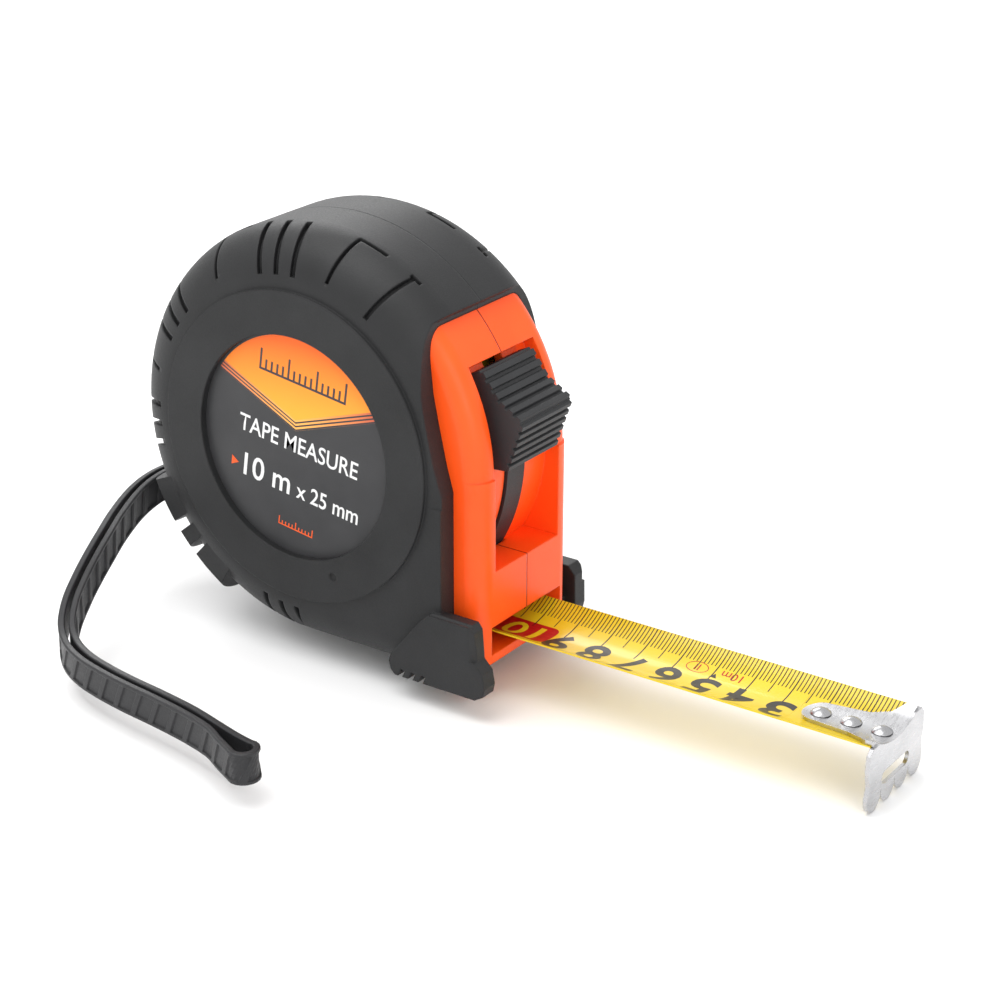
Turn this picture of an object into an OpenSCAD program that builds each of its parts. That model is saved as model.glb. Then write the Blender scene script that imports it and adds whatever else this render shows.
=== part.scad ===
// Pocket tape measure: a sprung steel blade wound on a reel inside a two-part
// case, with a rubber jacket, a thumb lock, a riveted end hook, a belt clip and
// a wrist strap. The blade is shown partly drawn out.
// Origin: on the base plane, on the mid-plane, straight below the reel's axis.
// +X is the way the blade leaves, +Y is the belt clip's side, +Z is up.

/* [Case] */
// Radius over the rubber jacket
case_r = 54; // [52:0.5:60]
// Height of the flat base over the rim's lowest point
base_cut = 2.5; // [2:0.25:4]
// Width over the rubber sides, without the raised discs
case_t = 50; // [48:0.5:58]
// Thickness of the rubber jacket round the rim
jacket_t = 2.5; // [2:0.25:4]
// Distance of the front face behind the rim
front_back = 2; // [0:0.25:2.5]
// Thickness of the case wall
wall = 2.4; // [1.8:0.1:2.6]
// Radius of the raised disc on each side
disc_r = 40; // [36:0.5:42]
// Radius of the round label
label_r = 28.9; // [20:0.5:32]
// Depth of the tread grooves
tread_d = 1.5; // [0.8:0.1:1.6]

/* [Blade] */
// Width of the blade as it stands curved
blade_w = 23.6; // [16:0.2:26]
// Thickness of the blade with its coating
blade_t = 0.35; // [0.2:0.05:0.5]
// Depth of the blade's curve
camber = 3.5; // [2.5:0.1:4]
// Height of the blade's edges over the base
blade_z = 11; // [10.5:0.1:11.6]
// Length of blade that is drawn out
blade_out = 100; // [60:1:200]
// Thickness of the wound blade on its drum
wound_t = 8.8; // [5:0.2:9.6]

/* [Hook] */
// Width of the hook
hook_w = 28; // [25:0.5:30]
// Distance that the hook reaches below the base plane
hook_drop = 6; // [2:0.5:8]
// Thickness of the hook's plate
hook_t = 1; // [0.8:0.1:1.4]
// Sliding play of the hook on its rivets
hook_play = 1; // [0.6:0.1:1.2]

/* [Thumb lock] */
// Half width of the thumb button
button_hw = 10.5; // [8:0.5:11.5]
// Turn of the lock from free to locked, in degrees
lock_turn = 10; // [6:0.5:11]

/* [Strap] */
// Width of the strap
strap_w = 8; // [6:0.5:9]
// Thickness of one strap band
strap_t = 1.7; // [1.2:0.1:2]

/* [Belt clip] */
// Width of the belt clip
clip_w = 20; // [14:1:26]
// Gap between the clip and the raised disc
clip_gap = 5; // [4.6:0.1:6]

/* [Hidden] */
$fn = 96;

// Case
axis_z = case_r - base_cut;          // height of the reel's axis over the base
front_x = case_r - front_back;       // front face
shell_r = case_r - jacket_t;         // outer radius of the case under the jacket
side_y = case_t / 2 - 1.6;           // outer face of the case's side disc
disc_h = 1;                          // height of the raised disc over the jacket
step_r = shell_r - 10.5;             // radius of the case's side disc
nose_corner = 5;                     // radius of the nose's front corners
floor_z = 3.5;                       // underside of the case's nose
lip_z = blade_z - camber - 1.7;      // top of the mouth's lower lip
mouth_top = blade_z + 2.2;           // upper edge of the mouth
mouth_hw = blade_w / 2 + 3.1;        // half width of the mouth
nose_hw = mouth_hw + 4.6;            // half width of the nose
cav_r = shell_r - 6;                 // radius of the main cavity
cav_hw = nose_hw - wall;             // half width of the main cavity
side_in = side_y - wall;             // inner face of the side wall
shoulder = 13.6;                     // radius of the jacket's shoulder
window_x = front_x - 8;              // front edge of the jacket on the sides
window_top = 45;                     // angle where the jacket ends above the nose
base_edge = 8.4;                     // radius of the jacket's edge along the base
foot_t = 2.5;                        // how far the foot stands out of the side
block_h = 3;                         // how far the blocks stand out of the shoulder

// Reel
axle_r = 4;
flange_t = 1;
reel_hw = blade_w / 2 + 1.4;         // inner face of the reel's flanges
// outside of the wound blade: over the drawn blade's edges, and clear of the screw bosses
coil_r = min(axis_z - blade_z - blade_t - 0.35, cav_r - 5.7);
flange_r = coil_r + 0.4;             // radius of the reel's flanges
drum_r = coil_r - wound_t;           // outside of the drum
run_gap = 0.05;                      // running clearance on the axle
boss_r = 8;

// Lock
floor_r = cav_r + 2.5;               // floor of the nose's recess
slot_r = floor_r + 1.2;              // outer limit of the slide's slot
slide_r0 = cav_r + 0.4;
slide_r1 = floor_r + 0.7;
slide_hw = 3.6;
recess_hw = button_hw + 3;
shelf_z = mouth_top + 14.4;          // top of the shelf over the mouth
recess_top = 31;                     // angle where the recess ends
brake_low = -51;                     // angle of the brake's end, unlocked

// Screws
screws = [72, 150, 226];             // angles round the rim
screw_r = cav_r - 0.7;               // their distance from the axis
nose_screw = [front_x - 5.2, mouth_top + 7.2]; // X and Z
head_r = 2.5;
head_t = 2;
head_y = nose_hw - 4.9;              // underside of the screw heads
screw_end = -11.5;
shank_r = 1.4;

// Belt clip
clip_t = 1;
clip_y = case_t / 2 + disc_h + clip_gap; // inner face of the clip
clip_seat = side_y + 0.6;            // face that it is screwed to
clip_top = axis_z + 9;
clip_screw_r = 1.3;
clip_hole = 1.8;

// Rivets
rivet_pitch = 7.75;
rivet_last = front_x + blade_out - 2.9;
rivet_r = 1.1;
tip_x = rivet_last - 2 * rivet_pitch - 6.2; // where the tip section of the blade starts
hook_x = front_x + blade_out;        // inner face of the hook
arc_r = blade_w * blade_w / (8 * camber) + camber / 2; // inner radius of the blade's curve
arc_z = blade_z - camber + arc_r;    // centre of the blade's curve
tang_t = 1;
nail_hw = 5.2;                       // half length, height and radius of the nail slot
nail_z = 0.6;
nail_r = 1.75;

// Strap
pin_r = 1.5;
strap_gap = 0.5;                     // half the gap between the two bands
strap_z = 20 + strap_w / 2;          // height at which it leaves the case
rim_x = -sqrt(case_r * case_r - (axis_z - strap_z) * (axis_z - strap_z)); // the rim at that height
pin_x = rim_x + 7;
// its pocket: floor in X, half width, bottom and top
pocket = [pin_x + 3.9, strap_t + strap_gap + 3, strap_z - strap_w / 2 - 1.5, strap_z + strap_w / 2 + 1.5];
lug_hw = pocket[1] + 3.8;            // half width of the lug round the pocket
pin_z = [pocket[2] - 0.8, pocket[3] + 1.2];
// The middle line of the doubled band, from its pin outwards: behind the rim, Y,
// and over the height at which the band lies on its edge
ROUTE = [for (p = [[3, 0, 20], [-4.5, -0.6, 20], [-8.5, -3, 19.9], [-11.4, -7.6, 19.3], [-12.9, -13.5, 18],
        [-12.5, -20.5, 16.3], [-9.9, -29.5, 14.3], [-6.5, -38, 12.4], [-3.5, -46, 10], [-0.5, -53.5, 7.4],
        [2.7, -60.5, 4.5], [7.2, -66.8, 2], [12.9, -71.3, 0.6], [20, -74.4, 0.1], [28.5, -76.5, 0],
        [37.5, -78, 0], [48.5, -79.3, 0], [59.5, -81, 0], [68.5, -83.2, 0], [74.5, -85.4, 0]])
    [rim_x + p[0], p[1], strap_w / 2 + p[2]]];
loop_c = [rim_x + 81.1, -87.4];      // centre of the end loop
loop_r = 3.1;                        // radius of the loop's middle line

function polar(a, r) = [r * cos(a), axis_z + r * sin(a)];

// Extrudes a shape drawn in X and Z from y0 to y1
module xz(y0, y1) translate([0, y1, 0]) rotate([90, 0, 0]) linear_extrude(y1 - y0) children();

// Extrudes a shape drawn in Y and Z from x0 to x1
module yz(x0, x1) translate([x0, 0, 0]) rotate([90, 0, 90]) linear_extrude(x1 - x0) children();

// A cylinder along Y about the reel's axis
module disc(r, y0, y1) translate([0, y0, axis_z]) rotate([-90, 0, 0]) cylinder(r = r, h = y1 - y0);

// A cylinder along Y at x, z
module rod(p, r, y0, y1) translate([p[0], y0, p[1]]) rotate([-90, 0, 0])
    cylinder(r = r, h = y1 - y0, $fn = 48);

// The half of space on one side of the mid-plane
module side_of(s) translate([-3 * case_r, s > 0 ? 0 : -4 * case_t, -50])
    cube([6 * case_r, 4 * case_t, 4 * case_r]);

// ---- Case ----

// Half section of the case's rim, radius against half width, with a rounded corner
module shell_section() {
    square([shell_r - nose_corner, nose_hw]);
    square([shell_r, nose_hw - nose_corner]);
    translate([shell_r - nose_corner, nose_hw - nose_corner]) intersection() {
        circle(r = nose_corner);
        square(nose_corner);
    }
}

// Plan of the nose with its rounded front corners
module nose_plan() {
    c = nose_corner;
    translate([0, -nose_hw]) square([front_x - c, 2 * nose_hw]);
    translate([0, c - nose_hw]) square([front_x, 2 * (nose_hw - c)]);
    for (s = [-1, 1]) translate([front_x - c, s * (nose_hw - c)]) circle(r = c);
}

module shell_solid() {
    difference() {
        for (q = [0, 1]) mirror([0, q, 0]) spun() shell_section();
        translate([-2 * case_r, -case_t, floor_z - 4 * case_r]) cube([4 * case_r, 2 * case_t, 4 * case_r]);
    }
    translate([0, 0, floor_z]) linear_extrude(axis_z - floor_z) nose_plan();
    disc(step_r, -side_y, side_y);
    strap_lug();
}

// The block round the strap's pocket, clear of the reel
module strap_lug() difference() {
    intersection() {
        translate([-2 * case_r, -lug_hw, pocket[2] - 3])
            cube([2 * case_r + pocket[0] + 2, 2 * lug_hw, pocket[3] - pocket[2] + 5.5]);
        disc(case_r - 0.6, -lug_hw, lug_hw);
    }
    disc(flange_r + 0.7, -case_t, case_t);
}

module cavity() {
    disc(cav_r, -cav_hw, cav_hw);
    disc(step_r - 2, -side_in, side_in);
    translate([0, -mouth_hw, lip_z]) cube([front_x + 10, 2 * mouth_hw, mouth_top - lip_z]);
}

// The open channel in the nose that the thumb button slides in
module recess() xz(-recess_hw, recess_hw) difference() {
    polygon([[case_r / 2, shelf_z], [2 * case_r, shelf_z], polar(recess_top, 2 * case_r / cos(recess_top)),
        polar(recess_top, case_r / 2 / cos(recess_top))]);
    translate([0, axis_z]) circle(r = floor_r);
}

module sector(r, a0, a1) intersection() {
    translate([0, axis_z]) circle(r = r);
    polygon([[0, axis_z], polar(a0, 2 * r), polar((a0 + a1) / 2, 2 * r), polar(a1, 2 * r)]);
}

// The slot that the lock's slide runs in
module slide_slot() xz(-slide_hw - 0.4, slide_hw + 0.4) sector(slot_r, brake_low - lock_turn - 5, 33);

module strap_pin_solid() translate([pin_x, 0, pin_z[0]])
    cylinder(r = pin_r, h = pin_z[1] - pin_z[0], $fn = 48);

module strap_pocket() translate([-2 * case_r, -pocket[1], pocket[2]])
    cube([2 * case_r + pocket[0], 2 * pocket[1], pocket[3] - pocket[2]]);

function screw_at(i) = i < 3 ? polar(screws[i], screw_r) : nose_screw;

module shell(s) color("orangered") difference() {
    union() {
        difference() {
            intersection() {
                shell_solid();
                side_of(s);
            }
            cavity();
        }
        intersection() {
            union() {
                for (i = [0:2]) rod(screw_at(i), 4, -cav_hw - 0.5, cav_hw + 0.5);
                disc(boss_r, -side_in - 0.5, 0.4 - reel_hw - flange_t - 0.8);
                disc(boss_r, reel_hw + flange_t + 0.4, side_in + 0.5);
                strap_lug();
            }
            side_of(s);
        }
    }
    recess();
    slide_slot();
    strap_pocket();
    disc(axle_r, 0.8 - side_y, side_y - 0.8);
    if (s > 0) disc(clip_hole, 0, side_y + 1);
    for (i = [0:3]) rod(screw_at(i), s > 0 ? shank_r + 0.15 : shank_r, screw_end, case_t);
    if (s > 0) for (i = [0:3]) rod(screw_at(i), head_r + 0.25, head_y, case_t);
    strap_pin_solid();
    for (q = [-1, 1]) disc(label_r, q > 0 ? side_y - 0.4 : -side_y - 1, q > 0 ? side_y + 1 : 0.4 - side_y);
}

module shell_right() shell(-1);

module shell_left() shell(1);

// ---- Rubber jacket ----

// Half section of the jacket, radius against half width, drawn in by d
module rim_section(d) {
    r = case_r - d;
    w = case_t / 2 - d;
    c = shoulder - d;
    square([r - c, w]);
    square([r, w - c]);
    translate([r - c, w - c]) circle(r = c);
    square([disc_r - d, w + disc_h]);
}

module spun() translate([0, 0, axis_z]) rotate([-90, 0, 0]) rotate_extrude() children();

// One groove across the rim: angle, the y it starts and ends at, width and skew
module groove(a, y0, y1, w, skew) translate([0, 0, axis_z]) rotate([0, -a, 0])
    translate([disc_r + 3.4, (y0 + y1) / 2, 0]) rotate([skew, 0, 0])
    translate([0, (y0 - y1) / 2, -w / 2]) cube([case_r - disc_r + 6, y1 - y0, w]);

// A groove that runs along the rim from a0 to a1 at one y
module along(a0, a1, y, w) xz(y - w / 2, y + w / 2) sector(case_r + 3, a0, a1);

module grooves() {
    inner = case_t / 2 - 12;
    outer = case_t / 2 + 5;
    short = case_t / 2 - 0.8;
    // groups of three across the shoulder
    for (g = [96.5, 147, 185.5, 263], k = [-1, 0, 1]) groove(g + k * 6.6, inner, outer, 1.5, -16);
    // brackets between the groups
    for (a = [76, 121, 166]) groove(a, inner + 0.3, short, 1.1, 0);
    for (a = [[67, 76.5], [112, 121.5], [160, 166.5], [55.4, 59]]) along(a[0], a[1], inner + 0.5, 1.2);
    groove(58.6, inner + 0.3, outer, 1.3, 6);
}

// Blocks that stand out of the shoulder, low at the back
module blocks() for (a = [[203, 216], [219.5, 224.5], [227.5, 239]]) intersection() {
    spun() intersection() {
        rim_section(-block_h);
        square(200);
    }
    xz(case_t / 2 - 15, case_t / 2 - 1) sector(2 * case_r, a[0], a[1]);
}

// Outlines of the right foot, which reaches past the front face, and of the left one
FOOT_RIGHT = [[-21.4, 1.2], [-20.2, 0], [3.6, 0], [6, 1.4], [6.5, 3.6], [5.8, 7.3], [3.5, 9.6], [3.2, 13.7],
    [2.9, 17.2], [1.7, 18.7], [-10.1, 18.7], [-12.7, 16.2], [-21.4, 5.4], [-22, 3.4]];
FOOT_LEFT = [[-21.4, 1.2], [-20.2, 0], [-3.4, 0], [-1.2, 1.6], [-0.6, 4], [-0.8, 12.6], [-2.8, 14.8],
    [-12.6, 14.8], [-15, 13], [-21.4, 5.4], [-22, 3.4]];

module foot(outline) translate([front_x, 0, 0]) {
    out = case_t / 2 + foot_t;
    difference() {
        xz(case_t / 2 - 2, out) polygon(outline);
        // notches in the lower edge
        for (x = [-19, -15.9, -12.8]) translate([x, case_t / 2, -1]) rotate([0, 24, 0])
            translate([-0.6, -8, -2]) cube([1.2, 16, 5.2]);
        // chamfers along the outer edges
        translate([-32, out - 1.2, 20.3]) rotate([45, 0, 0]) translate([0, -1.6, -1.6]) cube([50, 3.2, 3.2]);
        translate([outline == FOOT_RIGHT ? 4.5 : 0.7, out, 9.8]) rotate([0, 0, 45])
            translate([-1.8, -1.8, 0]) cube([3.6, 3.6, 20]);
    }
    // root under the case's rounded lower edge
    translate([-20, case_t / 2 - 6, 0]) cube([16, 4.5, 6]);
}

// What the jacket covers, before its window, foot and grooves
module jacket_body() intersection() {
    union() {
        spun() intersection() {
            rim_section(0);
            square(200);
        }
        // the straight part under the nose
        cube([window_x, case_t / 2, axis_z - 6]);
    }
    // rounded edges along the base
    yz(-2 * case_r, 2 * case_r) union() {
        translate([-case_t, base_edge]) square([2 * case_t, 3 * case_r]);
        translate([base_edge - case_t / 2, 0]) square([case_t - 2 * base_edge, 10]);
        for (q = [-1, 1]) translate([q * (case_t / 2 - base_edge), base_edge]) circle(r = base_edge);
    }
    side_of(1);
}

// The bare part of the nose, in front of the jacket
module window() xz(-case_t, case_t) polygon([
    [window_x, -1], [window_x, axis_z - 3], polar(5.5, shell_r - 9.3),
    polar(18.7, shell_r - 9.4), polar(28.3, shell_r - 7.9), polar(34, shell_r - 5.8),
    polar(41.6, shell_r - 1.9), polar(window_top, shell_r + 0.8), polar(window_top, 2 * case_r),
    [3 * case_r, axis_z], [3 * case_r, -1]]);

// One half of the jacket, on the belt clip's side
module jacket_half(left) difference() {
    union() {
        difference() {
            jacket_body();
            window();
            difference() {
                grooves();
                spun() intersection() {
                    rim_section(tread_d);
                    square(200);
                }
            }
        }
        blocks();
        foot(left ? FOOT_LEFT : FOOT_RIGHT);
    }
    shell_solid();
    disc(label_r, -case_t, case_t);
    strap_pocket();
    strap_pin_solid();
    if (left) for (i = [0:2]) rod(screw_at(i), head_r + 0.25, head_y, case_t);
    // dimple in the raised disc
    rod(polar(-69, (disc_r + label_r) / 2 - 1), 1.1, case_t / 2 + 0.6, case_t);
}

module jacket_right() color("#3d3e40") mirror([0, 1, 0]) jacket_half(false);

module jacket_left() color("#3d3e40") jacket_half(true);

// ---- Labels ----

module label_right() color("#2f3033") disc(label_r, -side_y - 0.6, 0.4 - side_y);

module label_left() color("#2f3033") difference() {
    disc(label_r, side_y - 0.4, side_y + 0.6);
    disc(clip_hole, side_y - 2, side_y + 2);
}

// ---- Reel ----

module axle() color("silver") difference() {
    disc(axle_r, 0.8 - side_y, side_y - 0.8);
    disc(clip_screw_r, 8, side_y);
}

module flange(y0) difference() {
    disc(flange_r, y0, y0 + flange_t);
    disc(axle_r + run_gap, y0 - 1, y0 + flange_t + 1);
    for (a = [30:60:330]) rod(polar(a, flange_r / 2), 4.5, y0 - 1, y0 + flange_t + 1);
}

module reel() color("white") {
    flange(-reel_hw - flange_t);
    difference() {
        disc(drum_r, -reel_hw, reel_hw);
        disc(drum_r - 1.8, -reel_hw - 1, reel_hw + 1);
    }
}

module reel_cover() color("white") flange(reel_hw);

// Middle line of the wound spring: it leaves the axle and packs against the drum
spring_r0 = axle_r + 0.9;
spring_r1 = drum_r - 2.4;
spring_turns = 6;
function spring_at(u, d) = let (r = spring_r0 + (spring_r1 - spring_r0) * pow(u, 0.32) + d)
    polar(u * spring_turns * 360, r);

module mainspring() color("steelblue") xz(-blade_w / 2 + 0.5, blade_w / 2 - 0.5)
    polygon(concat([for (i = [0:144]) spring_at(i / 144, 0.15)],
        [for (i = [144:-1:0]) spring_at(i / 144, -0.15)]));

module blade_coil() color("gold") difference() {
    disc(coil_r, -blade_w / 2, blade_w / 2);
    disc(drum_r + 0.02, -blade_w, blade_w);
}

// ---- Blade and hook ----

// Section of a curved sheet that lies on the blade's curve, d over its inner face
module curved(d, t, hw) intersection() {
    translate([0, arc_z]) difference() {
        circle(r = arc_r - d);
        circle(r = arc_r - d - t);
    }
    translate([-hw, arc_z - arc_r - 5]) square([2 * hw, arc_r * 0.75]);
}

module blade_strip() color("gold") yz(3, tip_x - 0.05) curved(-blade_t, blade_t, blade_w / 2);

module blade_tip() color("gold") difference() {
    yz(tip_x, hook_x - 0.1) curved(-blade_t, blade_t, blade_w / 2);
    for (k = [0:2]) translate([rivet_last - k * rivet_pitch, 0, 0]) cylinder(r = rivet_r, h = 20, $fn = 32);
}

function tang_top() = arc_z - arc_r + tang_t + 0.03;

module hook_rivets() color("silver") for (k = [0:2]) translate([rivet_last - k * rivet_pitch, 0, 0]) {
    // domed head over the tang
    head = 2.5;
    dome = 1.1;
    ball = (head * head + dome * dome) / (2 * dome);
    z0 = tang_top() + 0.2;
    intersection() {
        translate([0, 0, z0 + dome - ball]) sphere(r = ball);
        translate([0, 0, z0]) cylinder(r = head, h = 5, $fn = 48);
    }
    under = arc_z - arc_r - blade_t - 0.5;
    translate([0, 0, under]) cylinder(r = rivet_r, h = tang_top() + 0.5 - under, $fn = 32);
    translate([0, 0, under - 0.1]) cylinder(r = 2.1, h = 0.55, $fn = 48);
}

module tang_plan() {
    x0 = rivet_last - 2 * rivet_pitch - 4.4;
    hw = blade_w / 2 - 0.4;
    translate([x0 + 4.6, 0]) circle(r = 4.6);
    polygon([[x0 + 4.6, -4.6], [x0 + 14, -5.6], [x0 + 18.4, -7.6], [hook_x - 1.6, -hw], [hook_x + 0.5, -hw],
        [hook_x + 0.5, hw], [hook_x - 1.6, hw], [x0 + 18.4, 7.6], [x0 + 14, 5.6], [x0 + 4.6, 4.6]]);
}

// Outline of the hook's plate in Y and Z
module hook_face() {
    w = hook_w / 2;
    n = 4;
    lobe = hook_w / n / 2;
    difference() {
        union() {
            polygon([[-w + 1.6, blade_z - 0.4], [-w + 0.4, blade_z - 1.8], [-w, blade_z - 6], [-w + 0.9, 1.5],
                [-w, lobe - hook_drop + 0.4], [w, lobe - hook_drop + 0.4], [w - 0.9, 1.5], [w, blade_z - 6],
                [w - 0.4, blade_z - 1.8], [w - 1.6, blade_z - 0.4]]);
            for (i = [0:n - 1]) translate([-w + lobe + i * 2 * lobe, lobe - hook_drop])
                circle(r = lobe - 0.12, $fn = 32);
        }
        translate([0, arc_z]) circle(r = arc_r - tang_t - 0.02);
        // slot that catches a nail's head
        for (q = [-1, 1]) translate([q * nail_hw, nail_z]) circle(r = nail_r, $fn = 32);
        translate([-nail_hw, nail_z - nail_r]) square([2 * nail_hw, 2 * nail_r]);
    }
}

module hook() color("gainsboro") {
    difference() {
        intersection() {
            yz(tip_x, hook_x + 0.5) curved(0.03, tang_t, blade_w / 2 + 1);
            linear_extrude(40) tang_plan();
        }
        for (k = [0:2]) translate([rivet_last - k * rivet_pitch, 0, 0]) {
            translate([-hook_play, 0, 0]) cylinder(r = rivet_r + 0.1, h = 20, $fn = 32);
            cylinder(r = rivet_r + 0.1, h = 20, $fn = 32);
            translate([-hook_play, -rivet_r - 0.1, 0]) cube([hook_play, 2 * rivet_r + 0.2, 20]);
        }
    }
    yz(hook_x, hook_x + hook_t) hook_face();
}

// ---- Thumb lock ----

module lock_slide() color("#2a2a2c") xz(-slide_hw, slide_hw) difference() {
    sector(slide_r1, brake_low, 24);
    translate([0, axis_z]) circle(r = slide_r0);
}

// Outline of the ribbed thumb button in X and Z
function ribs(a, b, n, d) = [for (i = [0:n - 1], k = [0:3])
    let (t = (i + [0.1, 0.2, 0.72, 0.82][k]) / n, out = (k == 1 || k == 2) ? d : 0,
        u = [b[0] - a[0], b[1] - a[1]], m = norm(u))
    [a[0] + u[0] * t + out * u[1] / m, a[1] + u[1] * t - out * u[0] / m]];

module button_outline() {
    low = polar(1.5, floor_r + 4.6);
    crest = polar(14.1, floor_r + 10.8);
    back = polar(19.9, floor_r + 5.6);
    top = polar(29, floor_r + 3.6);
    difference() {
        polygon(concat([polar(1.2, slide_r1 - 1)], [low], ribs(low, crest, 6, 0.8), [crest],
            ribs(crest, back, 3, 0.8), ribs(back, top, 3, 0.8), [top], [polar(29.4, slide_r1 - 1)]));
        translate([0, axis_z]) circle(r = slide_r1);
    }
}

module lock_button() color("#2a2a2c") xz(-button_hw, button_hw) button_outline();

module brake_pad() color("#1c1c1c") {
    xz(-9, 9) difference() {
        sector(cav_r - 0.3, brake_low, brake_low + 9);
        translate([0, axis_z]) circle(r = cav_r - 3.2);
    }
    xz(-slide_hw, slide_hw) difference() {
        sector(slide_r0, brake_low, brake_low + 9);
        translate([0, axis_z]) circle(r = cav_r - 1);
    }
}

// ---- Fixings ----

module case_screws() color("silver") for (i = [0:3]) {
    difference() {
        rod(screw_at(i), head_r, head_y, head_y + head_t);
        // cross recess
        translate([screw_at(i)[0], head_y + head_t - 0.5, screw_at(i)[1]]) for (q = [0, 90]) rotate([0, q, 0])
            cube([3, 2, 0.6], center = true);
    }
    rod(screw_at(i), shank_r, screw_end, head_y);
}

// ---- Belt clip ----

module belt_clip() color("silver") difference() {
    yz(-clip_w / 2, clip_w / 2) polygon([[clip_seat, clip_top], [clip_seat, axis_z - 7],
        [clip_y, axis_z - 14], [clip_y, 18], [clip_y - 2.2, 14], [clip_y + 1.6, 8.5],
        [clip_y + 2.4, 9.1], [clip_y - 1, 14],
        [clip_y + clip_t, 17.8], [clip_y + clip_t, axis_z - 13.4], [clip_seat + clip_t, axis_z - 6.4],
        [clip_seat + clip_t, clip_top]]);
    disc(clip_hole, side_y, clip_y);
}

module clip_screw() color("silver") {
    top = clip_seat + clip_t + 2.2;
    difference() {
        disc(3.4, clip_seat + clip_t, top);
        translate([0, top, axis_z]) for (q = [0, 90]) rotate([0, q, 0]) cube([4.2, 2, 0.8], center = true);
    }
    disc(clip_screw_r, 8, clip_seat + clip_t);
}

// ---- Strap ----

module strap_pin() color("silver") strap_pin_solid();

function unit(v) = v / norm(v);
function flat(v) = unit([v[1], -v[0], 0]);
function dir(p, i) = unit(p[min(i + 1, len(p) - 1)] - p[max(i - 1, 0)]);
function turn(p, i) = unit(p[(i + 1) % len(p)] - p[(i + len(p) - 1) % len(p)]);

// The endless band's middle line: out on one side, round the end loop, back on
// the other side and round the pin
LAST = len(ROUTE) - 1;
band_off = strap_t / 2 + strap_gap;
eye_r = pin_r + 0.2 + strap_t / 2;
BAND = concat(
    [for (i = [0:LAST]) ROUTE[i] + flat(dir(ROUTE, i)) * (band_off + (i == LAST ? 0.7 : 0))],
    [for (a = [-130:26:104]) [loop_c[0] + loop_r * cos(a), loop_c[1] + loop_r * sin(a), ROUTE[LAST][2]]],
    [for (i = [LAST:-1:0]) ROUTE[i] - flat(dir(ROUTE, i)) * (band_off + (i == LAST ? 0.7 : 0))],
    [for (a = [-112:28:112]) [pin_x + eye_r * cos(a), eye_r * sin(a), ROUTE[0][2]]]);

// A closed flat band swept along its middle line, its width upright
module band(p) {
    n = len(p);
    corners = [[-1, -1], [1, -1], [1, 1], [-1, 1]];
    ring = [for (i = [0:n - 1]) let (t = turn(p, i), h = -flat(t), b = unit(cross(t, h)))
        for (c = corners) p[i] + h * c[0] * strap_t / 2 + b * c[1] * strap_w / 2];
    polyhedron(points = ring, faces = [for (i = [0:n - 1], k = [0:3], h = [0, 1])
        let (j = (i + 1) % n, m = (k + 1) % 4)
        h == 0 ? [4 * i + k, 4 * j + k, 4 * j + m] : [4 * i + k, 4 * j + m, 4 * i + m]]);
}

module strap() color("#303032") band(BAND);

shell_right();
shell_left();
jacket_right();
jacket_left();
label_right();
label_left();
axle();
reel();
reel_cover();
mainspring();
blade_coil();
blade_strip();
blade_tip();
hook_rivets();
hook();
lock_slide();
lock_button();
brake_pad();
case_screws();
belt_clip();
clip_screw();
strap_pin();
strap();
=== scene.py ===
import math

import bmesh
import bpy
from mathutils import Matrix, Vector


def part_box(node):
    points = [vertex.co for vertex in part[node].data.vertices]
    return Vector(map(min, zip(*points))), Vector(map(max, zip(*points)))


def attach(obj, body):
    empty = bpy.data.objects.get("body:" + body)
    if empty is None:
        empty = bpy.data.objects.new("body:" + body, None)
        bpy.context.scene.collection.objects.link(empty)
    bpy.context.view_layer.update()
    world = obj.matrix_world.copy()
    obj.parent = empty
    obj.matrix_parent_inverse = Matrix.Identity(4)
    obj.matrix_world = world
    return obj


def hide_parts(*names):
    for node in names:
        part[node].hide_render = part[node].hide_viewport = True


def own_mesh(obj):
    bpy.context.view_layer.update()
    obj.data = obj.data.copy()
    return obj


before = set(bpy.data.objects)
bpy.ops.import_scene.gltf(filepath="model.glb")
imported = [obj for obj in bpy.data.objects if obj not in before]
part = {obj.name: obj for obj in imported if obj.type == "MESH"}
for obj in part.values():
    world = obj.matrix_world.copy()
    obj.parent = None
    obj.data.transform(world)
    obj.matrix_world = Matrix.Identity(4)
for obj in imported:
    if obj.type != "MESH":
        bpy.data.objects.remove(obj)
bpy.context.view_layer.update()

# ---- Camera ----
# The tool lies on a bench and is looked at from in front of its right side, a little from above.
azimuth, elevation, roll = (math.radians(a) for a in (34.623, 23.068, 0.196))
forward = Vector((-math.sin(azimuth) * math.cos(elevation),
                  math.cos(azimuth) * math.cos(elevation), -math.sin(elevation)))
level = forward.cross(Vector((0, 0, 1))).normalized()
rise = level.cross(forward)
right = level * math.cos(roll) + rise * math.sin(roll)
above = rise * math.cos(roll) - level * math.sin(roll)
camera = bpy.data.objects.new("camera", bpy.data.cameras.new("camera"))
camera.data.lens, camera.data.sensor_width = 86.56, 36
camera.data.clip_start, camera.data.clip_end = 0.02, 20
camera.matrix_world = Matrix.Translation((0.350466, -0.444010, 0.269511)) @ Matrix(
    (right, above, -forward)).transposed().to_4x4()
bpy.context.scene.collection.objects.link(camera)
bpy.context.scene.camera = camera

# ---- Case halves ----
# Two ABS mouldings, a right and a left one, that meet on the mid-plane and leave a fine parting
# line down the nose. They are moulded in bright orange with a satin skin and faint flow marks.


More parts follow.
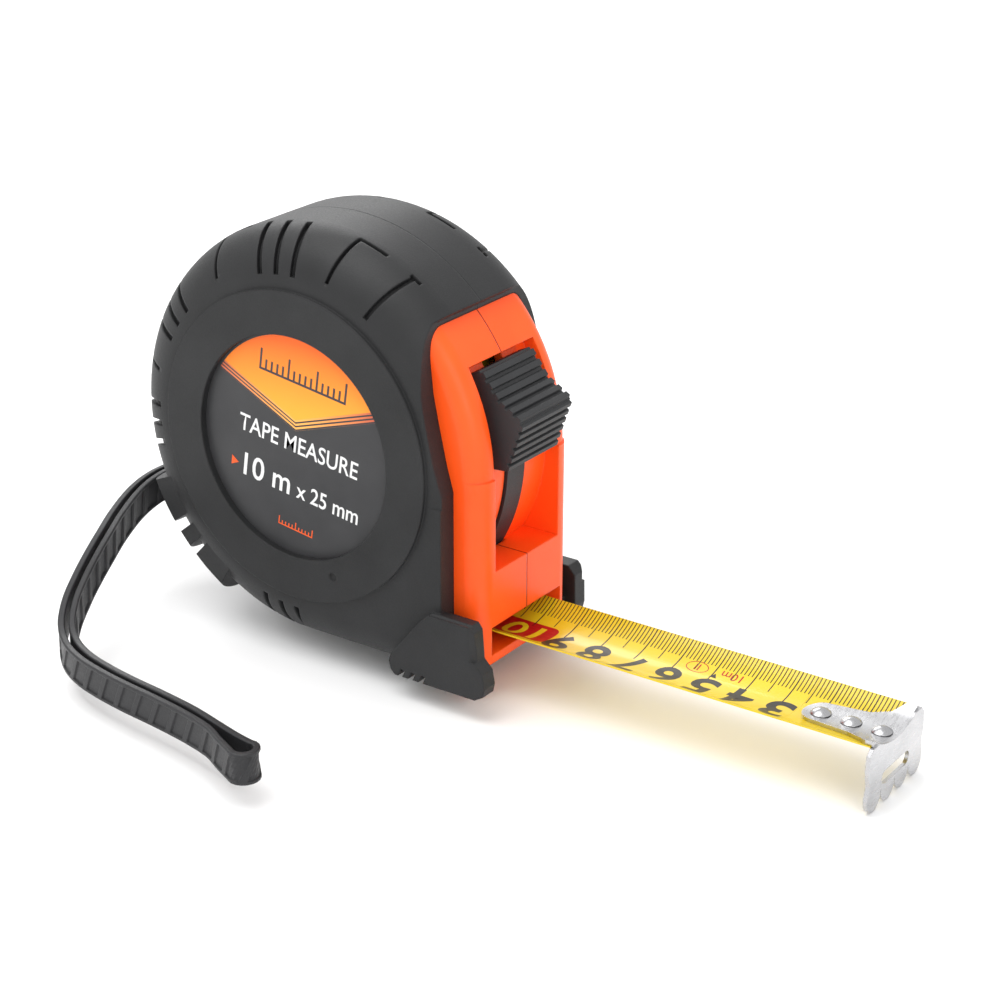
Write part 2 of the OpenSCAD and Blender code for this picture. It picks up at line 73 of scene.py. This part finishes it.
class Finish:
    """A material's nodes. Every pattern is laid in the piece's own place, in metres."""

    def __init__(self, name, rough, metal=0.0, coat=0.0):
        self.material = bpy.data.materials.new(name)
        self.material.use_nodes = True
        self.tree = self.material.node_tree
        self.shader = self.tree.nodes["Principled BSDF"]
        self.shader.inputs["Roughness"].default_value = rough
        self.shader.inputs["Metallic"].default_value = metal
        self.shader.inputs["Coat Weight"].default_value = coat
        self.shader.inputs["Coat Roughness"].default_value = 0.12
        self.shader.inputs["Specular IOR Level"].default_value = 0.5 if metal else 0.32
        self.place = self.add("ShaderNodeTexCoord").outputs["Object"]

    def add(self, kind, links=None, **values):
        node = self.tree.nodes.new(kind)
        for key, value in values.items():
            setattr(node, key, value)
        for key, value in (links or {}).items():
            socket = node.inputs[key]
            if isinstance(value, bpy.types.NodeSocket):
                self.tree.links.new(value, socket)
            else:
                socket.default_value = value
        return node

    def sum(self, operation, a, b=0.0, c=0.0):
        return self.add("ShaderNodeMath", {0: a, 1: b, 2: c}, operation=operation).outputs[0]

    def noise(self, size, detail=2.0, stretch=(1, 1, 1)):
        place = self.add("ShaderNodeMapping", {"Vector": self.place, "Scale": stretch}).outputs[0]
        return self.add("ShaderNodeTexNoise",
                        {"Vector": place, "Scale": 1 / size, "Detail": detail}).outputs[0]

    def fade(self, value, low, high, start=0.0, end=1.0):
        return self.add("ShaderNodeMapRange", {"Value": value, "From Min": low, "From Max": high,
                                               "To Min": start, "To Max": end}).outputs[0]

    def mix(self, share, a, b):
        node = self.add("ShaderNodeMix", data_type="RGBA")
        for socket, value in ((node.inputs[0], share), (node.inputs[6], a), (node.inputs[7], b)):
            if isinstance(value, bpy.types.NodeSocket):
                self.tree.links.new(value, socket)
            else:
                socket.default_value = value if isinstance(value, float) else (*value, 1)
        return node.outputs[2]

    def colour(self, value):
        self.tree.links.new(value, self.shader.inputs["Base Color"])

    def gloss(self, value):
        self.tree.links.new(value, self.shader.inputs["Roughness"])

    def relief(self, height, depth, strength=1.0, soften=0.0):
        bump = self.add("ShaderNodeBump", {"Height": height, "Distance": depth, "Strength": strength})
        if soften:
            edge = self.add("ShaderNodeBevel", {"Radius": soften}, samples=6)
            self.tree.links.new(edge.outputs[0], bump.inputs["Normal"])
        self.tree.links.new(bump.outputs[0], self.shader.inputs["Normal"])


def moulded(name, colour, tone, grain, depth, rough, soften=0.0004):
    """Moulded plastic or rubber: a fine spark-eroded grain, and a tone that drifts with the flow."""
    made = Finish(name, rough)
    drift = made.fade(made.noise(0.018, 3), 0.3, 0.7)
    skin = made.noise(grain, 3)
    made.colour(made.mix(drift, colour, tone))
    made.gloss(made.fade(skin, 0.3, 0.7, rough - 0.05, rough + 0.07))
    made.relief(skin, depth, 0.35, soften)
    return made


def give(finish, *names):
    """Puts a finish on CAD nodes in place of the plain one that they came with."""
    for name in names:
        part[name].data.materials.clear()
        part[name].data.materials.append(finish.material)


orange = Finish("orange_abs", 0.36)
orange_drift = orange.fade(orange.noise(0.02, 3), 0.3, 0.7)
orange_skin = orange.noise(0.0005, 3)
across = orange.add("ShaderNodeSeparateXYZ", {0: orange.place}).outputs[1]
parting = orange.fade(orange.sum("ABSOLUTE", across), 0.00006, 0.00022)
plain_orange = orange.mix(orange_drift, (1.0, 0.086, 0.006), (1.0, 0.105, 0.010))
orange.colour(orange.mix(parting, (0.30, 0.016, 0.001), plain_orange))
orange.gloss(orange.fade(orange_skin, 0.3, 0.7, 0.33, 0.43))
orange.relief(orange.sum("ADD", orange.sum("MULTIPLY", orange_skin, 0.08), parting), 0.00025, 0.6, 0.0006)
give(orange, "shell_right", "shell_left")

# ---- Rubber jacket ----
# Soft black rubber moulded over the case halves, with a treaded rim, a raised disc on each side
# and two feet under the nose. The skin is matt, and handling leaves it a little greyer in places.
rubber = moulded("black_rubber", (0.013, 0.0132, 0.0138), (0.020, 0.0203, 0.0212),
                 0.00035, 0.00008, 0.5, 0.0007)
give(rubber, "jacket_right", "jacket_left")

# ---- Side labels ----
# A round printed sticker in the recess of each raised disc. The right one carries the print: an
# orange sector over three pinstripes, then the blade's length and width. The left one is plain.
print_turn = math.radians(-8.4)
label_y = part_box("label_right")[0].y
sticker = Finish("label_print", 0.42)
spot = sticker.add("ShaderNodeSeparateXYZ", {0: sticker.place}).outputs
label_x, label_z = (sticker.sum("MULTIPLY", spot[k], 1000.0) for k in (0, 2))
arms = sticker.sum("MAXIMUM", sticker.sum("MULTIPLY", label_x, -0.503), sticker.sum("MULTIPLY", label_x, 0.306))
over = sticker.sum("SUBTRACT", label_z, sticker.sum("ADD", arms, 58.4))
radius = sticker.sum("SQRT", sticker.sum("ADD", sticker.sum("POWER", label_x, 2.0), sticker.sum(
    "POWER", sticker.sum("SUBTRACT", label_z, 51.5), 2.0)))
inside = sticker.fade(radius, 28.25, 28.35, 1.0, 0.0)
sector = sticker.sum("MULTIPLY", sticker.fade(over, -0.03, 0.03), inside)
lines = sticker.sum("GREATER_THAN", sticker.sum("FRACT", sticker.sum("MULTIPLY", over, 1.05)), 0.44)
stripes = sticker.sum("MULTIPLY", sticker.sum("MULTIPLY", lines, sticker.fade(over, -2.9, -2.84)), inside)
paper = sticker.mix(sticker.fade(sticker.noise(0.012, 3), 0.3, 0.7),
                    (0.036, 0.036, 0.038), (0.046, 0.046, 0.048))
ink = sticker.mix(sticker.fade(label_z, 60.0, 78.0), (1.0, 0.42, 0.035), (1.0, 0.15, 0.012))
from_middle = sticker.fade(sticker.sum("ABSOLUTE", label_x), 2.0, 26.0)
pale = sticker.mix(from_middle, (1.0, 0.46, 0.10), (0.62, 0.10, 0.06))
front = sticker.fade(spot[1], 0.0, 0.001, 1.0, 0.0)
printed = sticker.mix(sector, sticker.mix(stripes, paper, pale), ink)
sticker.colour(sticker.mix(front, paper, printed))
sticker.relief(sticker.noise(0.0004), 0.00003, 0.3)
give(sticker, "label_right", "label_left")


def inked(name, colour, tone, rough=0.4):
    made = Finish(name, rough)
    made.colour(made.mix(made.fade(made.noise(0.002, 2), 0.35, 0.65), colour, tone))
    return made.material


def sheet_piece(name, mesh_maker, material, body):
    """A new piece whose mesh is built in place by mesh_maker(bm)."""
    bm = bmesh.new()
    mesh_maker(bm)
    mesh = bpy.data.meshes.new(name)
    bm.to_mesh(mesh)
    bm.free()
    mesh.materials.append(material)
    piece = bpy.data.objects.new(name, mesh)
    bpy.context.scene.collection.objects.link(piece)
    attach(piece, body)
    return piece


def letters(bm, words, size, weight=0.0, width=1.0):
    """Adds words in the built-in face as flat faces in X and Y, centred, size high over the capitals."""
    curve = bpy.data.curves.new("words", "FONT")
    curve.body, curve.align_x, curve.align_y = words, "CENTER", "CENTER"
    curve.size, curve.offset, curve.resolution_u = size / 0.72, weight * size, 4
    holder = bpy.data.objects.new("words", curve)
    bpy.context.scene.collection.objects.link(holder)
    mesh = bpy.data.meshes.new_from_object(holder.evaluated_get(bpy.context.evaluated_depsgraph_get()))
    bpy.data.objects.remove(holder)
    bpy.data.curves.remove(curve)
    before = set(bm.verts)
    bm.from_mesh(mesh)
    bpy.data.meshes.remove(mesh)
    made = [v for v in bm.verts if v not in before]
    low = min(v.co.y for v in made)
    high = max(v.co.y for v in made)
    side = (min(v.co.x for v in made) + max(v.co.x for v in made)) / 2
    bmesh.ops.translate(bm, verts=made, vec=(-side, -(low + high) / 2, 0))
    bmesh.ops.scale(bm, verts=made, vec=(width, 1, 1))
    return made


def on_label(bm, made, x, z):
    """Turns flat work to the label's face, with its print's slant, at x, z in millimetres."""
    bmesh.ops.rotate(bm, verts=made, cent=(0, 0, 0), matrix=Matrix.Rotation(print_turn, 3, "Z"))
    bmesh.ops.rotate(bm, verts=made, cent=(0, 0, 0), matrix=Matrix.Rotation(math.pi / 2, 3, "X"))
    bmesh.ops.translate(bm, verts=made, vec=(x / 1000, label_y - 0.00003, z / 1000))


def white_words(bm):
    on_label(bm, letters(bm, "TAPE MEASURE", 0.0046, 0.012, 0.86), 0.6, 51.9)
    on_label(bm, letters(bm, "10 m", 0.0062, 0.016, 0.95), -9.6, 42.2)
    on_label(bm, letters(bm, "x 25 mm", 0.0044, 0.016, 0.88), 9.2, 38.7)


def bar(bm, x0, x1, y0, y1):
    """A flat upright rectangle in X and Y, in metres."""
    made = bmesh.ops.create_grid(bm, x_segments=1, y_segments=1, size=0.5)["verts"]
    bmesh.ops.scale(bm, verts=made, vec=(x1 - x0, y1 - y0, 1))
    bmesh.ops.translate(bm, verts=made, vec=((x0 + x1) / 2, (y0 + y1) / 2, 0))
    return made


def rule_sign(bm, count, pitch, tall, thick):
    """A short piece of a rule's scale, with every fifth mark longer."""
    made = bar(bm, -pitch * count / 2 - thick / 2, pitch * count / 2 + thick / 2, 0, thick)
    for k in range(count + 1):
        x = (k - count / 2) * pitch
        mark = tall if k % 5 == 0 else tall * 0.55
        made += bar(bm, x - thick / 2, x + thick / 2, thick, mark)
    return made


def orange_marks(bm):
    on_label(bm, rule_sign(bm, 10, 0.00105, 0.0022, 0.00032), -1.2, 28.8)
    made = bmesh.ops.create_circle(bm, cap_ends=True, segments=3, radius=0.0015)["verts"]
    bmesh.ops.rotate(bm, verts=made, cent=(0, 0, 0), matrix=Matrix.Rotation(math.radians(-90), 3, "Z"))
    on_label(bm, made, -20.2, 43.3)


sheet_piece("label_words", white_words, inked("white_ink", (0.84, 0.84, 0.83), (0.78, 0.78, 0.78)), "case")
sheet_piece("label_marks", orange_marks, inked("orange_ink", (0.9, 0.12, 0.02), (0.82, 0.10, 0.015)), "case")
sheet_piece("label_sign", lambda bm: on_label(bm, rule_sign(bm, 15, 0.00175, 0.0056, 0.00062), 2.4, 67.6),
            inked("dark_ink", (0.045, 0.04, 0.04), (0.06, 0.05, 0.05)), "case")

# ---- Reel ----
# Turned steel axle, a pale moulded drum between two flanges, the blued mainspring and, round the
# drum, the wound blade. All of it turns inside the closed case.


def metal(name, colour, tone, rough, drawn=(1, 1, 1), grain=0.0006):
    """Bare or plated metal. Fine marks run the way that it was turned, drawn or rolled."""
    made = Finish(name, rough, metal=1.0)
    marks = made.noise(grain, 3, drawn)
    made.colour(made.mix(made.fade(made.noise(0.008, 2), 0.3, 0.7), colour, tone))
    made.gloss(made.fade(marks, 0.3, 0.7, rough - 0.07, rough + 0.1))
    made.relief(marks, 0.00002, 0.25, 0.0002)
    return made


give(metal("axle_steel", (0.56, 0.57, 0.58), (0.48, 0.49, 0.5), 0.32, (1, 0.05, 1)), "axle")
give(moulded("reel_plastic", (0.62, 0.61, 0.58), (0.56, 0.55, 0.52), 0.0006, 0.00004, 0.45),
     "reel", "reel_cover")
give(metal("spring_steel", (0.10, 0.12, 0.17), (0.16, 0.17, 0.2), 0.3, (1, 0.05, 1)), "mainspring")

# ---- Blade ----
# A spring-steel strip rolled to a shallow curve and enamelled yellow, under a clear nylon skin. The
# drawn-out strip stands on the case; the tip carries the hook.
blade = Finish("blade_yellow", 0.34, coat=0.35)
tint = blade.fade(blade.noise(0.01, 3, (0.3, 1, 1)), 0.3, 0.7)
blade.colour(blade.mix(tint, (0.66, 0.47, 0.010), (0.72, 0.53, 0.014)))
blade.relief(blade.noise(0.0012, 2, (0.2, 1, 1)), 0.00002, 0.3)
give(blade, "blade_coil", "blade_tip")

# the radius and height, over the base, of the centre of the blade's curve, in millimetres
curve_r, curve_z = 21.641, 29.141
strip_start, strip_end, tip_start, tip_end, half_blade = 3.0, 127.35, 127.4, 151.9, 11.8


def lay_on_blade(bm, verts, lift):
    """Bends flat work, drawn in metres over the blade's plan, down onto its curve."""
    for v in verts:
        y = max(-half_blade, min(half_blade, v.co.y * 1000))
        v.co.z = (curve_z - math.sqrt((curve_r - lift) ** 2 - y * y)) / 1000


def strip_sheet(bm):
    made = bmesh.ops.create_grid(bm, x_segments=62, y_segments=28, size=0.5)["verts"]
    bmesh.ops.scale(bm, verts=made, vec=((strip_end - strip_start) / 1000, 2 * half_blade / 1000, 1))
    bmesh.ops.translate(bm, verts=made, vec=((strip_end + strip_start) / 2000, 0, 0))
    lay_on_blade(bm, made, 0)
    bmesh.ops.recalc_face_normals(bm, faces=bm.faces)
    if bm.faces[:][0].normal.z < 0:
        bmesh.ops.reverse_faces(bm, faces=bm.faces)
    bmesh.ops.solidify(bm, geom=bm.faces[:], thickness=0.00035)


strip = sheet_piece("blade_strip_sheet", strip_sheet, blade.material, "case")
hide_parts("blade_strip")

# ---- Blade print ----
# A black scale along one edge, a millimetre apart and numbered in centimetres, read with the hook
# at the left. The figure at each full ten is knocked out of a red block.
scale_zero = 152.8
shown_from = 44.0


def slice_across(bm):
    """Cuts flat work every 1.2 mm across the blade, so that it can take the curve."""
    for k in range(-10, 11):
        geom = bm.verts[:] + bm.edges[:] + bm.faces[:]
        bmesh.ops.bisect_plane(bm, geom=geom, dist=1e-7, plane_co=(0, k * 0.0012, 0), plane_no=(0, 1, 0))


def scale_marks(bm, low, high):
    for mm in range(math.ceil(scale_zero - high), math.floor(scale_zero - low) + 1):
        x = (scale_zero - mm) / 1000
        if not low <= scale_zero - mm < high or mm < 1:
            continue
        reach = 11.3 if mm % 10 == 0 else 8.2 if mm % 5 == 0 else 5.2
        thick = 0.00032 if mm % 10 == 0 else 0.00026
        bar(bm, x - thick / 2, x + thick / 2, (half_blade - reach) / 1000, (half_blade - 0.05) / 1000)


def face_hook(bm, made, x, y):
    """Turns flat work to be read with the hook at the left, and moves it to x, y in metres."""
    bmesh.ops.rotate(bm, verts=made, cent=(0, 0, 0), matrix=Matrix.Rotation(math.pi, 3, "Z"))
    bmesh.ops.translate(bm, verts=made, vec=(x, y, 0))


def figures(bm, low, high):
    for cm in range(1, 10):
        x = scale_zero - 10 * cm
        if low <= x - 4 and x + 4 < high and cm > 2:
            made = letters(bm, str(cm), 0.0100, 0.034)
            wide = max(v.co.x for v in made) - min(v.co.x for v in made)
            bmesh.ops.scale(bm, verts=made, vec=(0.0066 / wide, 1, 1))
            face_hook(bm, made, (x + 0.9) / 1000, -0.0033)
    made = bmesh.ops.create_circle(bm, cap_ends=True, segments=3, radius=0.0011)["verts"]
    bmesh.ops.translate(bm, verts=made, vec=(0.1034, 0.0032, 0))


def laid(name, maker, material, body, lift=0.02):
    """A printed piece, drawn flat, sliced and laid on the blade's curve."""
    def build(bm):
        maker(bm)
        slice_across(bm)
        lay_on_blade(bm, bm.verts, lift)
        bmesh.ops.triangulate(bm, faces=bm.faces[:])
        for face in bm.faces:
            if face.normal.z < 0:
                face.normal_flip()
    return sheet_piece(name, build, material, body)


def red_block(bm):
    made = bar(bm, 0.0400, 0.0605, -0.0072, 0.0030)
    bmesh.ops.bevel(bm, geom=made, offset=0.0018, segments=5, profile=0.5, affect="VERTICES", material=-1)


def gold_ten(bm):
    made = letters(bm, "10", 0.0080, 0.020, 1.12)
    face_hook(bm, made, (scale_zero - 100.6) / 1000, -0.0023)


def red_notes(bm):
    for words, size, x, y in (("10m", 0.0026, 0.1074, 0.0048), ("II", 0.0024, 0.0981, 0.0047)):
        face_hook(bm, letters(bm, words, size, 0.008), x, y)
    ring = bmesh.ops.create_circle(bm, cap_ends=True, segments=28, radius=0.0022)["verts"]
    bmesh.ops.scale(bm, verts=ring, vec=(1.35, 0.9, 1))
    bmesh.ops.translate(bm, verts=ring, vec=(0.0981, 0.0047, 0))
    face = ring[0].link_faces[0]
    bmesh.ops.inset_region(bm, faces=[face], thickness=0.00022, use_boundary=True)
    bmesh.ops.delete(bm, geom=[face], context="FACES")


black_ink = inked("black_ink", (0.018, 0.016, 0.012), (0.028, 0.024, 0.016), 0.35)
red_ink = inked("red_ink", (0.38, 0.006, 0.006), (0.45, 0.010, 0.008), 0.35)
gold_ink = inked("gold_ink", (0.66, 0.47, 0.010), (0.72, 0.53, 0.014), 0.35)
printed_pieces = [
    laid("scale_marks", lambda bm: scale_marks(bm, shown_from, tip_start), black_ink, "case"),
    laid("scale_figures", lambda bm: figures(bm, shown_from, tip_start), black_ink, "case"),
    laid("red_block", red_block, red_ink, "case"),
    laid("gold_ten", gold_ten, gold_ink, "case", 0.04),
    laid("red_notes", red_notes, red_ink, "case"),
]
laid("tip_marks", lambda bm: scale_marks(bm, tip_start, tip_end), black_ink, "tip")
for piece in [strip, *printed_pieces]:
    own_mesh(piece)

# ---- Hook and rivets ----
# Blanked and bent from 1 mm sheet and nickel plated: a tang under three domed rivets and a toothed
# plate with a slot for a nail's head. It slides on the rivets by its own thickness.
nickel = metal("hook_nickel", (0.58, 0.58, 0.59), (0.50, 0.50, 0.51), 0.28, (1, 0.2, 1), 0.0009)
give(nickel, "hook")
give(metal("rivet_nickel", (0.46, 0.46, 0.47), (0.38, 0.38, 0.39), 0.28, (1, 1, 1), 0.0005), "hook_rivets")

# ---- Thumb lock ----
# A ribbed ABS button on a curved slide that runs in the case's slot, with a rubber pad at its end
# that presses on the blade. The button is matt, its tone drifting a little from place to place.
give(moulded("lock_black", (0.019, 0.0195, 0.021), (0.028, 0.0285, 0.030), 0.00035, 0.00007, 0.5, 0.0002),
     "lock_button", "lock_slide")
give(moulded("brake_rubber", (0.02, 0.02, 0.02), (0.028, 0.028, 0.028), 0.0004, 0.00006, 0.62), "brake_pad")

# ---- Case screws ----
# Four cross-recessed self-tapping screws, zinc plated, driven from the left into the right half.
give(metal("screw_steel", (0.52, 0.53, 0.54), (0.42, 0.43, 0.44), 0.36, (1, 1, 1), 0.0005), "case_screws",
     "clip_screw", "strap_pin")

# ---- Belt clip ----
# A bent strip of plated spring steel on the left side, held by one screw into the axle.
give(metal("clip_steel", (0.62, 0.62, 0.63), (0.54, 0.54, 0.55), 0.27, (1, 1, 0.08), 0.0008), "belt_clip")

# ---- Wrist strap ----
# An endless band of soft black vinyl, folded flat on itself, round a pin in the case and open at its
# end. Its face has rails along both edges, with slanted bars and triangles moulded between them; only
# the rails and the slanted bars are built here.
strap_finish = moulded("strap_black", (0.017, 0.017, 0.0185), (0.026, 0.026, 0.028),
                       0.0005, 0.00008, 0.42, 0.0003)
rim = -46.473  # X of the case's rim at the strap's height, in millimetres like all that follows
pin = sum(corner.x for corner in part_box("strap_pin")) * 500
loop_x, loop_y, loop_r = rim + 81.1, -87.4, 3.1
half_gap = 1.35  # from the middle of the way to the middle of either band
loop_spread = 0.7  # how much further apart they are at the loop
bar_pitch, bar_slant = 6.2, 0.45
# the band's middle, from its pin outwards, over the height at which it lies on its edge
way = [Vector((rim + x, y, 4 + z)) for x, y, z in (
    (3, 0, 20), (-4.5, -0.6, 20), (-8.5, -3, 19.9), (-11.4, -7.6, 19.3), (-12.9, -13.5, 18),
    (-12.5, -20.5, 16.3), (-9.9, -29.5, 14.3), (-6.5, -38, 12.4), (-3.5, -46, 10), (-0.5, -53.5, 7.4),
    (2.7, -60.5, 4.5), (7.2, -66.8, 2), (12.9, -71.3, 0.6), (20, -74.4, 0.1), (28.5, -76.5, 0),
    (37.5, -78, 0), (48.5, -79.3, 0), (59.5, -81, 0), (68.5, -83.2, 0), (74.5, -85.4, 0))]


def sideways(along):
    return Vector((along.y, -along.x, 0)).normalized()


def one_side(side):
    """The band's middle line along one side of its way out to the loop."""
    last = len(way) - 1
    for k, spot in enumerate(way):
        along = way[min(k + 1, last)] - way[max(k - 1, 0)]
        yield spot + sideways(along) * side * (half_gap + (loop_spread if k == last else 0))


def around(x, y, r, low, high, step, z):
    """Points on an arc about x, y, from one angle to another in degrees."""
    for turn in range(low, high + 1, step):
        yield Vector((x + r * math.cos(math.radians(turn)), y + r * math.sin(math.radians(turn)), z))


def strap_band(bm):
    """Sweeps the band's section, with its rails and slanted bars, along the closed middle line."""
    line = [*one_side(1), *around(loop_x, loop_y, loop_r, -130, 104, 26, way[-1].z),
            *reversed(list(one_side(-1))), *around(pin, 0, 2.55, -112, 112, 28, way[0].z)]
    smooth = []
    for k in range(len(line)):
        a, b, c, d = (line[(k + n) % len(line)] for n in (-1, 0, 1, 2))
        for t in (n / 8 for n in range(8)):
            smooth.append(0.5 * (2 * b + (c - a) * t + (2 * a - 5 * b + 4 * c - d) * t * t
                                 + (3 * b - a - 3 * c + d) * t ** 3))
    run = [0.0]
    for k in range(len(smooth)):
        run.append(run[-1] + (smooth[(k + 1) % len(smooth)] - smooth[k]).length)

    def at(u):
        """The place and the direction at u along the band."""
        u %= run[-1]
        low, high = 0, len(smooth)
        while high - low > 1:
            middle = (low + high) // 2
            low, high = (middle, high) if run[middle] <= u else (low, middle)
        share = (u - run[low]) / (run[low + 1] - run[low])
        here, ahead = smooth[low], smooth[(low + 1) % len(smooth)]
        back, after = smooth[low - 1], smooth[(low + 2) % len(smooth)]
        along = (ahead - back).normalized().lerp((after - here).normalized(), share).normalized()
        return here.lerp(ahead, share), along

    # how far the field stands out over each row along the band: a bar, then plain
    count = round(run[-1] / bar_pitch)
    pitch = run[-1] / count
    rows = [(k * pitch + place, tall) for k in range(count) for place, tall in (
        (0, 0.42), (0.3, 0.8), (1.1, 0.8), (1.9, 0.8), (2.2, 0.42), (3.2, 0.42), (4.2, 0.42), (5.2, 0.42))]
    # across the band: place, height, and whether it is the field that the bars cross
    section = [(-4, 0.5, False), (-3.8, 0.85, False), (-3.2, 0.85, False),
               (-3, 0, True), (-1.5, 0, True), (0, 0, True), (1.5, 0, True), (3, 0, True),
               (3.2, 0.85, False), (3.8, 0.85, False), (4, 0.5, False),
               (4, -0.6, False), (3.75, -0.85, False), (0, -0.85, False),
               (-3.75, -0.85, False), (-4, -0.6, False)]
    rings = []
    for u, tall in rows:
        ring = []
        for v, lift, field in section:
            spot, along = at(u + bar_slant * v)
            out = sideways(along)
            up = out.cross(along).normalized()
            up = up if up.z > 0 else -up
            # the end that turns in the case's pocket is thinner
            share = 0.55 if spot.x > rim - 7 and spot.y > -14 else 1
            ring.append(bm.verts.new((spot + up * v + out * share * (tall if field else lift)) / 1000))
        rings.append(ring)
    for k, ring in enumerate(rings):
        ahead = rings[(k + 1) % len(rings)]
        for n in range(len(ring)):
            m = (n + 1) % len(ring)
            bm.faces.new((ring[n], ahead[n], ahead[m], ring[m]))
    bmesh.ops.recalc_face_normals(bm, faces=bm.faces)


strap = sheet_piece("strap_band", strap_band, strap_finish.material, "strap")
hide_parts("strap")

# ---- Floor and light ----
# A plain white bench and soft studio light from above, in front and behind.
bench = bpy.data.meshes.new("bench")
bm = bmesh.new()
bmesh.ops.create_grid(bm, x_segments=1, y_segments=1, size=6)
bmesh.ops.translate(bm, verts=bm.verts, vec=(0, 0, -0.0061))
bm.to_mesh(bench)
bm.free()
paint = bpy.data.materials.new("bench_white")
paint.use_nodes = True
paint.node_tree.nodes["Principled BSDF"].inputs["Base Color"].default_value = (0.9, 0.9, 0.9, 1)
paint.node_tree.nodes["Principled BSDF"].inputs["Roughness"].default_value = 0.9
bench.materials.append(paint)
bench = bpy.data.objects.new("bench", bench)
bpy.context.scene.collection.objects.link(bench)

world = bpy.data.worlds.new("studio")
world.use_nodes = True
world.node_tree.nodes["Background"].inputs[0].default_value = (1, 1, 1, 1)
world.node_tree.nodes["Background"].inputs[1].default_value = 1.0
bpy.context.scene.world = world


def softbox(name, at, to, size, watts):
    lamp = bpy.data.objects.new(name, bpy.data.lights.new(name, "AREA"))
    lamp.data.shape, lamp.data.size, lamp.data.size_y, lamp.data.energy = "RECTANGLE", size[0], size[1], watts
    lamp.location = at
    lamp.rotation_mode = "QUATERNION"
    lamp.rotation_quaternion = (Vector(to) - Vector(at)).to_track_quat("-Z", "Y")
    bpy.context.scene.collection.objects.link(lamp)


softbox("over", (-0.2, -0.25, 1.1), (0.02, 0, 0.04), (0.9, 0.9), 8)
softbox("front", (1.1, -0.7, 0.55), (0.04, 0, 0.04), (0.7, 0.9), 4)
softbox("back", (-0.9, 0.9, 0.8), (0, 0, 0.05), (0.8, 0.5), 6)

bpy.context.scene.view_settings.view_transform = "Standard"
